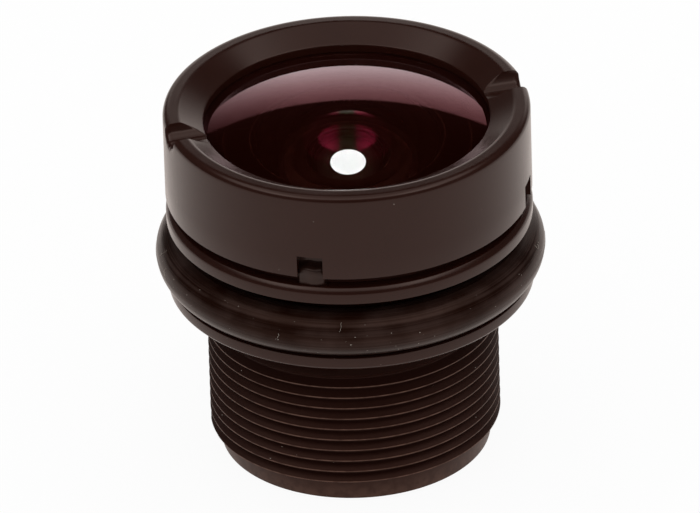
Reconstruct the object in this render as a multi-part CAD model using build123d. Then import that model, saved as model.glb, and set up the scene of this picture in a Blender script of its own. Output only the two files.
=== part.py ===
from build123d import *
import os
from math import copysign, degrees, sqrt

# Wide-angle lens for a board camera, standing on its rear face. Millimetres.
# Origin at the centre of the rear face, +Z along the optical axis towards the scene.

# Barrel outside, from the rear face up
lip_wall = 0.575             # round the filter's recess
lip_height = 0.95
thread_diameter = 12.0       # M12 x 0.5; the fine helix is left to the finish
thread_length = 5.10
thread_lead_in = 0.14        # height of the cone where the thread starts
thread_run_out = 0.25        # height of the cone where it ends
relief_diameter = 11.3
relief_length = 1.22
flange_diameter = 15.0       # shared by the flange, the band and the cap
flange_thickness = 0.58
flange_chamfer = 0.13
groove_depth = 1.50          # from the flange's edge in to the core
band_height = 0.70
band_chamfer = 0.13
edge_break = 0.06            # every turned corner is broken by this much

# Mount O-ring and its groove
o_ring_section = 1.96
o_ring_lift = 0.01           # it lies this far above the flange
o_ring_room = 0.58           # free height left in the groove above the ring's section

# Front cap
skirt_gap = 0.48             # dark slot between the band and the cap's skirt
skirt_wall = 0.63
cap_height = 3.82
opening_overlap = 0.34       # how far the opening's edge reaches over the front element
bevel_width = 0.99
bevel_depth = 0.55
shoulder_width = 0.11
shoulder_drop = 0.17

# Two half-round spanner notches across the rim, four square notches in the skirt
spanner_count = 2
spanner_radius = 0.70
spanner_rise = 0.10          # the round's centre stands this far above the rim
spanner_angle = 14.0
skirt_notch_count = 4
skirt_notch_width = 1.06
skirt_notch_height = 0.98
skirt_notch_angle = -13.0

# Locking adhesive in the skirt's notches
dab_width = 0.92
dab_height = 0.98
dab_depth = 0.36

# Clearances
bore_fit = 0.02              # radial, between a glass or ring and its bore
thread_fit = 0.02            # radial, between two threaded diameters
lip_fit = 0.02               # between the cap's lip and the front element
seal_room = 0.035            # all round the front seal ring

# Front element, a strong meniscus
apex_recess = 0.02           # the glass's summit lies this far under the rim
front_curve = 20.0
front_thickness = 1.20
front_hollow_curve = 4.251
front_hollow_depth = 2.0
neck_wall = 0.63             # barrel wall round the front element

# Second element, moulded with a flange
second_air = 1.874
second_curve = 5.967
second_thickness = 0.60
second_boss_room = 0.55      # radial, between the boss and the front spacer
second_flange_diameter = 9.2
second_flange_height = 0.75
second_hollow_curve = 2.682
second_hollow_depth = 1.15

# Third element, a thick positive meniscus
third_air = 1.10
third_curve = 4.802
third_thickness = 2.201
third_rear_curve = 7.893
third_rim = 1.0              # flat shoulder round the polished front
inner_diameter = 7.6         # shared by the third element, the stop and the fourth element

# Aperture stop
stop_air = 0.30              # from the third element's rear summit to the stop's middle
stop_thickness = 0.08
stop_diameter = 2.10

# Fourth element
fourth_air = 0.25            # from the stop's middle to the fourth element's front summit
fourth_curve = -3.976
fourth_edge = 0.682          # height of its rim
fourth_rear_curve = -3.607
fourth_room = 0.30           # radial, between the domed rear and the rear spacer

# Cemented pair, a flat-fronted fifth element and a thin sixth
pair_air = 0.15
pair_diameter = 6.8
fifth_edge = 0.457           # height of the fifth element's rim
cement_curve = -6.022
sixth_thickness = 0.50
sixth_rear_curve = -5.3
sixth_rim = 0.35

# Seventh element and the rear hardware, placed from the rear face
recess_depth = 0.75
filter_ring_thickness = 0.45
filter_ring_wall = 0.75
filter_thickness = 0.30
filter_step = 0.35           # radial, from the retaining ring out to the filter
retainer_room = 0.085        # between the filter and the retaining ring
retainer_thickness = 0.95
retainer_step = 0.40         # radial, from the seventh element out to the ring's thread
retainer_wall = 0.90
retainer_slot_width = 0.8
retainer_slot_depth = 0.4
seventh_rim = 0.55
seventh_curve = 12.091
seventh_edge = 0.357         # height of its rim over the retaining ring
seventh_rear_curve = -17.499
seventh_clear_radius = 3.65

# Walls of the spacers and of the bore between the two groups
front_spacer_wall = 0.95
middle_spacer_wall = 0.95
rear_spacer_wall = 0.80
spacer_lip = 0.05            # the barrel's bore stands back this far from the glass's clear radius


def fall(curve, radius):
    """How far a spherical surface has dropped from its summit; a negative curve rises instead."""
    return curve - copysign(sqrt(curve ** 2 - radius ** 2), curve)


def clear_radius(curve, depth):
    """Distance from the axis at which a spherical surface has dropped or risen by depth."""
    return sqrt(2 * abs(curve) * depth - depth ** 2)


def turned(*outline):
    """A solid of revolution from (radius, height) corners."""
    corners = [(radius, 0, height) for radius, height in outline]
    return revolve(make_face(Polyline(*corners, close=True)), Axis.Z)


def ring(inner, outer, low, high):
    """A plain ring with square corners."""
    return turned((inner, low), (outer, low), (outer, high), (inner, high))


def surface(curve, summit, radius):
    """The outline of one polished surface, from the axis out to radius."""
    middle = radius / 2
    return ThreePointArc(
        (0, 0, summit),
        (middle, 0, summit - fall(curve, middle)),
        (radius, 0, summit - fall(curve, radius)),
    )


def element(front, rear, side):
    """A lens from its two surfaces and the corners of its side, front to rear."""
    front_edge = front @ 1
    rear_edge = rear @ 1
    corners = [front_edge] + [(radius, 0, height) for radius, height in side] + [rear_edge]
    axis = Line(rear @ 0, front @ 0)
    outline = [front, Polyline(*corners), rear, axis]
    return revolve(make_face(outline), Axis.Z)


def torus(ring_radius, section_radius, height):
    """A round-section ring lying level at height."""
    section = Plane.XZ * Pos(ring_radius, height) * Circle(section_radius)
    return revolve(section, Axis.Z)


def around(count, first_angle):
    """Placements evenly spaced about the axis."""
    return [Rot(0, 0, first_angle + index * 360 / count) for index in range(count)]


# Outside radii of the barrel
thread_radius = thread_diameter / 2
relief_radius = relief_diameter / 2
flange_radius = flange_diameter / 2
core_radius = flange_radius - groove_depth
cap_radius = flange_radius

# Inwards from the cap to the front element
skirt_bore = cap_radius - skirt_wall
neck_radius = skirt_bore - thread_fit
front_bore = neck_radius - neck_wall
front_radius = front_bore - bore_fit
opening_radius = front_radius - opening_overlap

# Radii of the middle elements and of what they rest on
second_radius = second_flange_diameter / 2
front_spacer_inner = second_radius - front_spacer_wall
second_boss_radius = front_spacer_inner - second_boss_room
inner_radius = inner_diameter / 2
third_clear_radius = inner_radius - third_rim
pair_radius = pair_diameter / 2
rear_spacer_inner = pair_radius - rear_spacer_wall
fourth_clear_radius = rear_spacer_inner - fourth_room
sixth_clear_radius = pair_radius - sixth_rim

# Outwards from the seventh element to the barrel's lip
seventh_radius = seventh_clear_radius + seventh_rim
retainer_radius = seventh_radius + retainer_step
filter_radius = retainer_radius + filter_step
filter_bore = filter_radius + bore_fit
lip_radius = filter_bore + lip_wall

# Heights of the barrel's steps
thread_top = lip_height + thread_length
flange_base = thread_top + relief_length
flange_top = flange_base + flange_thickness
band_base = flange_top + o_ring_lift + o_ring_section + o_ring_room
band_top = band_base + band_height
cap_base = band_top + skirt_gap
cap_top = cap_base + cap_height

# Heights of the front group, counted down from the front element's summit
front_apex = cap_top - apex_recess
front_edge_height = front_apex - fall(front_curve, front_radius)
front_hollow_summit = front_apex - front_thickness
front_seat = front_hollow_summit - front_hollow_depth
second_apex = front_hollow_summit - second_air
second_hollow_summit = second_apex - second_thickness
second_seat = second_hollow_summit - second_hollow_depth
second_flange_top = second_seat + second_flange_height
third_apex = second_hollow_summit - third_air
third_shoulder = third_apex - fall(third_curve, third_clear_radius)
third_rear_summit = third_apex - third_thickness
stop_height = third_rear_summit - stop_air
stop_front = stop_height + stop_thickness / 2
stop_rear = stop_height - stop_thickness / 2
fourth_apex = stop_height - fourth_air
fourth_seat = stop_rear - fourth_edge
fourth_rear_summit = fourth_seat + fall(fourth_rear_curve, fourth_clear_radius)
fifth_front = fourth_rear_summit - pair_air
cement_edge = fifth_front - fifth_edge
cement_summit = cement_edge + fall(cement_curve, pair_radius)
sixth_rear_summit = cement_summit - sixth_thickness
pair_seat = sixth_rear_summit - fall(sixth_rear_curve, sixth_clear_radius)

# Heights of the rear group, counted up from the rear face
filter_rear = recess_depth + filter_ring_thickness
filter_front = filter_rear + filter_thickness
retainer_rear = filter_front + retainer_room
retainer_front = retainer_rear + retainer_thickness
seventh_rear_summit = retainer_front + fall(seventh_rear_curve, seventh_clear_radius)
seventh_seat = retainer_front + seventh_edge
seventh_apex = seventh_seat + fall(seventh_curve, seventh_clear_radius)

# The cap's lip follows the glass, and the seal fills the corner behind it
lip_inner_height = front_apex - fall(front_curve, opening_radius) + lip_fit
lip_outer_height = front_edge_height + lip_fit
seal_inner = front_radius + seal_room
seal_outer = skirt_bore - seal_room
seal_top = lip_outer_height - seal_room
seal_base = seal_top - (seal_outer - seal_inner)
neck_top = seal_base - seal_room

# Clear radii that follow from the planes they end on
front_hollow_radius = clear_radius(front_hollow_curve, front_hollow_depth)
second_hollow_radius = clear_radius(second_hollow_curve, second_hollow_depth)
third_rear_radius = clear_radius(third_rear_curve, third_rear_summit - stop_front)
fourth_front_radius = clear_radius(fourth_curve, stop_rear - fourth_apex)

# Bores
second_bore = second_radius + bore_fit
inner_bore = inner_radius + bore_fit
pair_bore = pair_radius + bore_fit
seventh_bore = seventh_radius + bore_fit
retainer_bore = retainer_radius + thread_fit


def make_barrel():
    """One turning: outside steps going up, then the stepped seats going down the bore."""
    outside = [
        (filter_bore + edge_break, 0),
        (lip_radius - edge_break, 0),
        (lip_radius, edge_break),
        (lip_radius, lip_height),
        (thread_radius, lip_height + thread_lead_in),
        (thread_radius, thread_top - thread_run_out),
        (relief_radius, thread_top),
        (relief_radius, flange_base),
        (flange_radius - flange_chamfer, flange_base),
        (flange_radius, flange_base + flange_chamfer),
        (flange_radius, flange_top - edge_break),
        (flange_radius - edge_break, flange_top),
        (core_radius, flange_top),
        (core_radius, band_base),
        (cap_radius - edge_break, band_base),
        (cap_radius, band_base + edge_break),
        (cap_radius, band_top - band_chamfer),
        (cap_radius - band_chamfer, band_top),
        (neck_radius, band_top),
        (neck_radius, neck_top - edge_break),
        (neck_radius - edge_break, neck_top),
    ]
    bore = [
        (front_bore + edge_break, neck_top),
        (front_bore, neck_top - edge_break),
        (front_bore, front_seat),
        (second_bore, front_seat),
        (second_bore, second_seat),
        (inner_bore, second_seat),
        (inner_bore, fourth_seat),
        (pair_bore, fourth_seat),
        (pair_bore, pair_seat),
        (sixth_clear_radius + spacer_lip, pair_seat),
        (seventh_clear_radius + spacer_lip, seventh_seat),
        (seventh_bore, seventh_seat),
        (seventh_bore, retainer_front),
        (retainer_bore, retainer_front),
        (retainer_bore, filter_front),
        (filter_bore, filter_front),
        (filter_bore, edge_break),
    ]
    return turned(*outside, *bore)


def make_front_cap():
    """The retaining cap: skirt, lip over the glass, bevelled mouth and its notches."""
    body = turned(
        (skirt_bore, cap_base),
        (cap_radius - edge_break, cap_base),
        (cap_radius, cap_base + edge_break),
        (cap_radius, cap_top - shoulder_drop),
        (cap_radius - shoulder_width, cap_top),
        (opening_radius + bevel_width, cap_top),
        (opening_radius, cap_top - bevel_depth),
        (opening_radius, lip_inner_height),
        (front_radius, lip_outer_height),
        (skirt_bore, lip_outer_height),
    )
    notch_length = 2 * (cap_radius - opening_radius)
    rim_middle = (cap_radius + opening_radius) / 2
    groove = Rot(0, 90, 0) * Cylinder(spanner_radius, notch_length)
    groove = Pos(rim_middle, 0, cap_top + spanner_rise) * groove
    for place in around(spanner_count, spanner_angle):
        body -= place * groove
    notch = Box(2 * skirt_wall, skirt_notch_width, 2 * skirt_notch_height)
    notch = Pos(cap_radius - skirt_wall / 2, 0, cap_base) * notch
    for place in around(skirt_notch_count, skirt_notch_angle):
        body -= place * notch
    return body


def make_lock_adhesive():
    """Four dabs that fill the skirt's notches down to the band and cling to the neck."""
    low = band_top
    high = band_top + dab_height
    outer = neck_radius + dab_depth
    corners = [
        (neck_radius, 0, low),
        (outer, 0, low),
        (outer, 0, high - dab_depth),
        (neck_radius, 0, high),
    ]
    sweep = degrees(dab_width / neck_radius)
    dab = revolve(make_face(Polyline(*corners, close=True)), Axis.Z, sweep)
    dabs = [place * dab for place in around(skirt_notch_count, skirt_notch_angle - sweep / 2)]
    return Compound(children=dabs)


def make_front_element():
    """The large meniscus: its rear edge stands on the neck's seat."""
    return element(
        surface(front_curve, front_apex, front_radius),
        surface(front_hollow_curve, front_hollow_summit, front_hollow_radius),
        [(front_radius, front_seat)],
    )


def make_second_element():
    """A moulded negative element: a central boss in a wider, lower flange."""
    return element(
        surface(second_curve, second_apex, second_boss_radius),
        surface(second_hollow_curve, second_hollow_summit, second_hollow_radius),
        [
            (second_boss_radius, second_flange_top),
            (second_radius, second_flange_top),
            (second_radius, second_seat),
        ],
    )


def make_third_element():
    """A thick positive meniscus that lies on the aperture stop."""
    return element(
        surface(third_curve, third_apex, third_clear_radius),
        surface(third_rear_curve, third_rear_summit, third_rear_radius),
        [(inner_radius, third_shoulder), (inner_radius, stop_front)],
    )


def make_aperture_stop():
    """A thin disc whose hole opens towards the rear in a cone, so its edge is sharp."""
    edge = stop_diameter / 2
    return turned(
        (edge, stop_front),
        (edge + stop_thickness, stop_rear),
        (inner_radius, stop_rear),
        (inner_radius, stop_front),
    )


def make_fourth_element():
    """A positive element, hollow in front and strongly domed behind."""
    return element(
        surface(fourth_curve, fourth_apex, fourth_front_radius),
        surface(fourth_rear_curve, fourth_rear_summit, fourth_clear_radius),
        [(inner_radius, stop_rear), (inner_radius, fourth_seat)],
    )


def make_fifth_element():
    """The thicker half of the cemented pair, flat in front."""
    axis = Line((0, 0, cement_summit), (0, 0, fifth_front))
    side = Polyline((0, 0, fifth_front), (pair_radius, 0, fifth_front), (pair_radius, 0, cement_edge))
    outline = [axis, side, surface(cement_curve, cement_summit, pair_radius)]
    return revolve(make_face(outline), Axis.Z)


def make_sixth_element():
    """The thin half of the cemented pair; its rear edge stands on the pair's seat."""
    return element(
        surface(cement_curve, cement_summit, pair_radius),
        surface(sixth_rear_curve, sixth_rear_summit, sixth_clear_radius),
        [(pair_radius, pair_seat)],
    )


def make_seventh_element():
    """The rear positive element, held up against its seat by the retaining ring."""
    return element(
        surface(seventh_curve, seventh_apex, seventh_clear_radius),
        surface(seventh_rear_curve, seventh_rear_summit, seventh_clear_radius),
        [(seventh_radius, seventh_seat), (seventh_radius, retainer_front)],
    )


def make_retaining_ring():
    """A threaded ring with a slot across its rear face for a two-pin key."""
    body = ring(retainer_radius - retainer_wall, retainer_radius, retainer_rear, retainer_front)
    slot = Box(4 * retainer_radius, retainer_slot_width, 2 * retainer_slot_depth)
    return body - Pos(0, 0, retainer_rear) * slot


filter_ring_inner = filter_radius - filter_ring_wall
nodes = {
    "barrel": make_barrel(),
    "mount_o_ring": torus(
        core_radius + bore_fit + o_ring_section / 2,
        o_ring_section / 2,
        flange_top + o_ring_lift + o_ring_section / 2,
    ),
    "front_cap": make_front_cap(),
    "lock_adhesive": make_lock_adhesive(),
    "front_seal_ring": ring(seal_inner, seal_outer, seal_base, seal_top),
    "front_element": make_front_element(),
    "front_spacer": ring(front_spacer_inner, second_radius, second_flange_top, front_seat),
    "second_element": make_second_element(),
    "middle_spacer": ring(inner_radius - middle_spacer_wall, inner_radius, third_shoulder, second_seat),
    "third_element": make_third_element(),
    "aperture_stop": make_aperture_stop(),
    "fourth_element": make_fourth_element(),
    "rear_spacer": ring(rear_spacer_inner, pair_radius, fifth_front, fourth_seat),
    "fifth_element": make_fifth_element(),
    "sixth_element": make_sixth_element(),
    "seventh_element": make_seventh_element(),
    "rear_retaining_ring": make_retaining_ring(),
    "infrared_filter": ring(0, filter_radius, filter_rear, filter_front),
    "filter_ring": ring(filter_ring_inner, filter_radius, recess_depth, filter_rear),
}

os.makedirs("parts", exist_ok=True)
for name, solid in nodes.items():
    export_step(solid, f"parts/{name}.step")
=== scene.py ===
from math import asin, ceil, copysign, cos, floor, hypot, pi, radians, sin, sqrt, tan, tau

import bmesh
import bpy
import numpy as np
from mathutils import Matrix, Vector


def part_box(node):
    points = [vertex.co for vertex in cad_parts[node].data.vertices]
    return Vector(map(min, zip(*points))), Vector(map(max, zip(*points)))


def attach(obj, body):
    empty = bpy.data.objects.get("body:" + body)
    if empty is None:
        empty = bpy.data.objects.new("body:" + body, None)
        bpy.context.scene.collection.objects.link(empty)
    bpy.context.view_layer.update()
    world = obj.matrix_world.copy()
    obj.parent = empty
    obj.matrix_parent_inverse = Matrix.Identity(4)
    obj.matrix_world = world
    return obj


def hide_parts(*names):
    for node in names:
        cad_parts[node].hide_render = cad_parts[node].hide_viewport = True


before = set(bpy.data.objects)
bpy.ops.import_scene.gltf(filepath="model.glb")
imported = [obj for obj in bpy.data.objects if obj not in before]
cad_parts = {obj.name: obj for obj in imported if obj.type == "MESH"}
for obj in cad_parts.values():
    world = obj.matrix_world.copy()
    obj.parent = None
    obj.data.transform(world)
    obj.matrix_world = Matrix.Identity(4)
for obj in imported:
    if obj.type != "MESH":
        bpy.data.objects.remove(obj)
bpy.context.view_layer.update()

bl_info = {
    "name": "Board Camera Lens",
    "version": (1, 0, 0),
    "blender": (4, 5, 0),
    "location": "3D View > Sidebar > Lens",
    "description": "Dresses the parts of a wide-angle board camera lens",
    "category": "Object",
}

MM = 0.001
ROUND_STEPS = 3              # points that each broken corner gets
BARREL_COLUMNS = 288


# Reading the frame

def low(node):
    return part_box(node)[0].z


def high(node):
    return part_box(node)[1].z


def reach(node):
    """A round node's radius, read where its facets lie closest to the axis."""
    least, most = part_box(node)
    return min(most.x, most.y, -least.x, -least.y)


# Outlines, as lists of (radius, height)

def fall(curve, radius):
    """How far a spherical surface has dropped from its summit at this radius."""
    return curve - copysign(sqrt(curve ** 2 - radius ** 2), curve)


def clear_radius(curve, depth):
    return sqrt(2 * abs(curve) * depth - depth ** 2)


def dome(curve, summit, radius, rings=36):
    """A polished surface from the axis out to radius."""
    widest = asin(radius / abs(curve))
    spread = [abs(curve) * sin(widest * index / rings) for index in range(rings + 1)]
    return [(r, summit - fall(curve, r)) for r in spread]


def soften(outline, size, closed=True):
    """Break each corner of an outline with a small round."""
    count = len(outline)
    rounded = []
    for index, corner in enumerate(outline):
        if not closed and index in (0, count - 1):
            rounded.append(corner)
            continue
        before = outline[index - 1]
        after = outline[(index + 1) % count]
        cut_in = min(size, 0.4 * hypot(before[0] - corner[0], before[1] - corner[1]))
        cut_out = min(size, 0.4 * hypot(after[0] - corner[0], after[1] - corner[1]))
        start = towards(corner, before, cut_in)
        end = towards(corner, after, cut_out)
        for step in range(ROUND_STEPS + 1):
            t = step / ROUND_STEPS
            rounded.append(tuple(
                (1 - t) ** 2 * a + 2 * t * (1 - t) * c + t ** 2 * b
                for a, c, b in zip(start, corner, end)
            ))
    return rounded


def towards(point, other, distance):
    length = hypot(other[0] - point[0], other[1] - point[1])
    share = distance / length
    return tuple(p + (o - p) * share for p, o in zip(point, other))


# Meshes

def lathe(outline, columns, closed=True):
    """Vertices and faces of an outline turned about the axis; a point on the axis becomes one vertex."""
    vertices = []
    rows = []
    for radius, height in outline:
        first = len(vertices)
        if radius < 1e-9:
            vertices.append((0, 0, height))
            rows.append([first] * columns)
            continue
        for column in range(columns):
            angle = tau * column / columns
            vertices.append((radius * cos(angle), radius * sin(angle), height))
        rows.append(list(range(first, first + columns)))
    faces = []
    pairs = list(zip(rows, rows[1:]))
    if closed:
        pairs.append((rows[-1], rows[0]))
    for lower, upper in pairs:
        for column in range(columns):
            after = (column + 1) % columns
            corners = [lower[column], lower[after], upper[after], upper[column]]
            unique = list(dict.fromkeys(corners))
            if len(unique) > 2:
                faces.append(unique)
    return vertices, faces


def as_piece(name, vertices, faces, material, stands_for, crease=30.0):
    """A mesh object from raw faces: merged, closed, facing out and riding on the part's one body."""
    shape = bmesh.new()
    made = [shape.verts.new(vertex) for vertex in vertices]
    for face in faces:
        shape.faces.new([made[index] for index in face])
    bmesh.ops.remove_doubles(shape, verts=shape.verts, dist=1e-8)
    bmesh.ops.recalc_face_normals(shape, faces=shape.faces)
    mesh = bpy.data.meshes.new(name)
    shape.to_mesh(mesh)
    shape.free()
    mesh.polygons.foreach_set("use_smooth", [True] * len(mesh.polygons))
    mesh.set_sharp_from_angle(angle=radians(crease))
    mesh.materials.append(material)
    piece = bpy.data.objects.new(name, mesh)
    bpy.context.scene.collection.objects.link(piece)
    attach(piece, "root")
    if stands_for:
        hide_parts(stands_for)
    return piece


def weigh_normals(piece):
    """Let large flat faces decide the shading, so that only the broken corners look round."""
    weighted = piece.modifiers.new("weighted_normals", "WEIGHTED_NORMAL")
    weighted.keep_sharp = True


# Colours and nodes

def linear(text):
    """An sRGB hex colour as linear RGBA."""
    shares = [int(text[place:place + 2], 16) / 255 for place in (1, 3, 5)]
    return tuple(s / 12.92 if s <= 0.04045 else ((s + 0.055) / 1.055) ** 2.4 for s in shares) + (1.0,)


def add(tree, kind, inputs=None, **settings):
    """Add one node with its settings, and set or link its sockets.

    A socket takes a value, a hex colour, an output, or a node, which gives its first output in use.
    """
    node = tree.nodes.new("ShaderNode" + kind)
    for name, value in settings.items():
        setattr(node, name, value)
    for socket, value in (inputs or {}).items():
        if isinstance(value, bpy.types.Node):
            value = next(output for output in value.outputs if output.enabled)
        if isinstance(value, bpy.types.NodeSocket):
            tree.links.new(value, node.inputs[socket])
        else:
            node.inputs[socket].default_value = linear(value) if isinstance(value, str) else value
    return node


def new_material(name):
    material = bpy.data.materials.new(name)
    material.use_nodes = True
    material.node_tree.nodes.clear()
    return material, material.node_tree


def turned_place(tree):
    """Coordinates that run only along the radius and the height, so a pattern on them goes round the part."""
    place = add(tree, "TexCoord").outputs["Object"]
    flat = add(tree, "VectorMath", {0: place, 1: (1, 1, 0)}, operation="MULTIPLY")
    radius = add(tree, "VectorMath", {0: flat}, operation="LENGTH").outputs["Value"]
    height = add(tree, "SeparateXYZ", {0: place}).outputs["Z"]
    return place, add(tree, "CombineXYZ", {"X": radius, "Z": height})


def anodised_aluminium_turned(colours):
    """Turned, then dyed and sealed: a clear oxide over warm black, dark in front and pale at its outline."""
    material, tree = new_material("anodised_aluminium_turned")
    place, ringed = turned_place(tree)
    # Tool marks, in truth about 0.03 mm apart, drawn 0.11 mm apart so that they show
    marks = add(tree, "TexNoise", {"Vector": ringed, "Scale": 1 / (0.11 * MM), "Detail": 2.0})
    cloud = add(tree, "TexNoise", {"Vector": place, "Scale": 1 / (2.2 * MM), "Detail": 3.0})
    grain = add(tree, "TexNoise", {"Vector": place, "Scale": 1 / (0.06 * MM), "Detail": 1.0})
    tone = add(tree, "Mix", {0: cloud, 6: colours.metal_dark, 7: colours.metal_light}, data_type="RGBA")
    gloss = add(tree, "MapRange", {
        "Value": cloud, "From Min": 0.3, "From Max": 0.7, "To Min": 0.19, "To Max": 0.25,
    })
    relief = add(tree, "Math", {0: grain, 1: marks}, operation="ADD")
    bump = add(tree, "Bump", {"Height": relief, "Strength": 0.35, "Distance": 0.0008 * MM})
    shader = add(tree, "BsdfPrincipled", {
        "Base Color": tone, "Roughness": gloss, "Specular Tint": colours.skin_tint, "Normal": bump,
    })
    add(tree, "OutputMaterial", {"Surface": shader})
    return material


def anodised_aluminium_threaded(colours):
    """The same skin on the cut thread, paler along the crests, where it is partly rubbed thin by the holder and
    partly a painted highlight, and paler on the lip as painted sheen.
    """
    material, tree = new_material("anodised_aluminium_threaded")
    place, ringed = turned_place(tree)
    # The attribute read here marks the paler crests, part rubbed skin and part painted highlight, and the lip's
    # painted sheen
    worn = add(tree, "Attribute", attribute_name="crest_wear_and_sheen").outputs["Fac"]
    patches = add(tree, "TexNoise", {"Vector": place, "Scale": 1 / (0.35 * MM), "Detail": 3.0})
    fullness = add(tree, "MapRange", {"Value": patches, "From Min": 0.35, "From Max": 0.6, "To Min": 0.35})
    share = add(tree, "Math", {0: worn, 1: fullness}, operation="MULTIPLY")
    tone = add(tree, "Mix", {0: share, 6: colours.metal_dark, 7: colours.metal_worn_and_sheen}, data_type="RGBA")
    marks = add(tree, "TexNoise", {"Vector": ringed, "Scale": 1 / (0.11 * MM), "Detail": 2.0})
    bump = add(tree, "Bump", {"Height": marks, "Strength": 0.3, "Distance": 0.0008 * MM})
    shader = add(tree, "BsdfPrincipled", {
        "Base Color": tone, "Roughness": 0.46, "Specular IOR Level": 0.42, "Specular Tint": colours.warm_tint,
        "Normal": bump,
    })
    add(tree, "OutputMaterial", {"Surface": shader})
    return material


def nitrile_rubber_moulded(colours):
    """Moulded black rubber, wiped round when it was fitted: soft sheen with long streaks and a little bloom."""
    material, tree = new_material("nitrile_rubber_moulded")
    place, ringed = turned_place(tree)
    streaks = add(tree, "TexNoise", {"Vector": ringed, "Scale": 1 / (0.09 * MM), "Detail": 4.0})
    bloom = add(tree, "TexNoise", {"Vector": place, "Scale": 1 / (1.6 * MM), "Detail": 4.0})
    mask = add(tree, "Math", {0: streaks, 1: bloom}, operation="MULTIPLY")
    share = add(tree, "MapRange", {"Value": mask, "From Min": 0.18, "From Max": 0.4})
    tone = add(tree, "Mix", {0: share, 6: colours.rubber_dark, 7: colours.rubber_bloom}, data_type="RGBA")
    gloss = add(tree, "MapRange", {
        "Value": streaks, "From Min": 0.3, "From Max": 0.7, "To Min": 0.20, "To Max": 0.38,
    })
    bump = add(tree, "Bump", {"Height": streaks, "Strength": 0.5, "Distance": 0.005 * MM})
    shader = add(tree, "BsdfPrincipled", {
        "Base Color": tone, "Roughness": gloss, "Specular IOR Level": 0.20, "Specular Tint": colours.warm_tint,
        "Normal": bump,
    })
    add(tree, "OutputMaterial", {"Surface": shader})
    return material


def coated_glass(name, index, colours, tints, shares, painted_stray_light_share, middle=None):
    """Polished glass under an anti-reflection coat: clear head-on, and a tinted mirror at a slant."""
    material, tree = new_material(name)
    slant = add(tree, "LayerWeight", {"Blend": 0.5}).outputs["Facing"]
    # The coat fails between 52 and 70 degrees off the surface's normal; 1 - cosine of those
    failing = add(tree, "MapRange", {"Value": slant, "From Min": 0.38, "From Max": 0.66})
    growth = add(tree, "Math", {0: failing, 1: 2.0}, operation="POWER")
    share = add(tree, "MapRange", {"Value": growth, "To Min": shares[0], "To Max": shares[1]})
    tint = add(tree, "Mix", {0: failing, 6: tints[0], 7: tints[1]}, data_type="RGBA")
    if middle:
        # Painted reflection: the ghost's greenish middle is drawn into the mirror tint at a fixed place, within
        # 0.22 to 0.42 mm across the middle
        place = add(tree, "TexCoord").outputs["Object"]
        across = add(tree, "SeparateXYZ", {0: place}).outputs["X"]
        aside = add(tree, "Math", {0: across}, operation="ABSOLUTE")
        outer = add(tree, "MapRange", {
            "Value": aside, "From Min": 0.22 * MM, "From Max": 0.42 * MM,
        }, interpolation_type="SMOOTHSTEP")
        tint = add(tree, "Mix", {0: outer, 6: middle, 7: tint}, data_type="RGBA")
    # Near the critical angle, seen from within, no coat helps and the light turns back
    fresnel = add(tree, "Fresnel", {"IOR": index})
    total = add(tree, "MapRange", {"Value": fresnel, "From Min": 0.15, "From Max": 0.95})
    share = add(tree, "Math", {0: share, 1: total}, operation="MAXIMUM")
    tint = add(tree, "Mix", {0: total, 6: tint, 7: "#ffffff"}, data_type="RGBA")
    body = add(tree, "BsdfRefraction", {"Color": colours.glass_body, "Roughness": 0.0, "IOR": index})
    mirror = add(tree, "BsdfGlossy", {"Color": tint, "Roughness": 0.0})
    glass = add(tree, "MixShader", {0: share, 1: body, 2: mirror})
    # A trace of warm diffuse colour: painted stray light, standing in for the light that the glasses and their
    # inked rims send back
    painted_stray_light = add(tree, "BsdfDiffuse", {"Color": colours.painted_stray_light})
    shader = add(tree, "MixShader", {0: painted_stray_light_share, 1: glass, 2: painted_stray_light})
    add(tree, "OutputMaterial", {"Surface": shader})
    return material


def optical_glass_front(colours):
    """High-index front glass, magnesium fluoride coat: near black from above, mauve at a slant."""
    tints = colours.coat_red, colours.coat_mauve
    return coated_glass("optical_glass_front", 1.773, colours, tints, (0.008, 0.27), 0.013)


def optical_glass_hollow(colours):
    """The front glass's rear side, coated in its own run: a magenta ghost of the bright wall, with a greenish
    middle painted into it.
    """
    tints = colours.coat_magenta, colours.coat_mauve
    return coated_glass("optical_glass_hollow", 1.773, colours, tints, (0.030, 0.12), 0.0, colours.painted_ghost_green)


def optical_glass_inner(name, index, colours):
    """Coated glass inside the barrel: almost no mirror image is left, only faint greenish ghosts."""
    tints = colours.coat_green, colours.coat_green
    return coated_glass(name, index, colours, tints, (0.004, 0.05), 0.001)


def edge_ink(colours):
    """Brushed-on black ink on the glasses' ground rims: swallows what light strikes it, nearly no gloss."""
    material, tree = new_material("edge_ink")
    place = add(tree, "TexCoord").outputs["Object"]
    strokes = add(tree, "TexNoise", {"Vector": place, "Scale": 1 / (0.5 * MM), "Detail": 2.0})
    gloss = add(tree, "MapRange", {"Value": strokes, "To Min": 0.6, "To Max": 0.8})
    shader = add(tree, "BsdfPrincipled", {
        "Base Color": colours.ink_black, "Roughness": gloss, "Specular IOR Level": 0.05,
    })
    add(tree, "OutputMaterial", {"Surface": shader})
    return material


def blackened_ring(colours):
    """Turned rings, dyed dull black so that no stray light gets back: nearly no gloss."""
    material, tree = new_material("blackened_aluminium_ring")
    ringed = turned_place(tree)[1]
    marks = add(tree, "TexNoise", {"Vector": ringed, "Scale": 1 / (0.08 * MM), "Detail": 2.0})
    gloss = add(tree, "MapRange", {"Value": marks, "To Min": 0.45, "To Max": 0.65})
    bump = add(tree, "Bump", {"Height": marks, "Strength": 0.3, "Distance": 0.002 * MM})
    shader = add(tree, "BsdfPrincipled", {
        "Base Color": colours.ring_black, "Roughness": gloss, "Specular IOR Level": 0.15, "Normal": bump,
    })
    add(tree, "OutputMaterial", {"Surface": shader})
    return material


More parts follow.
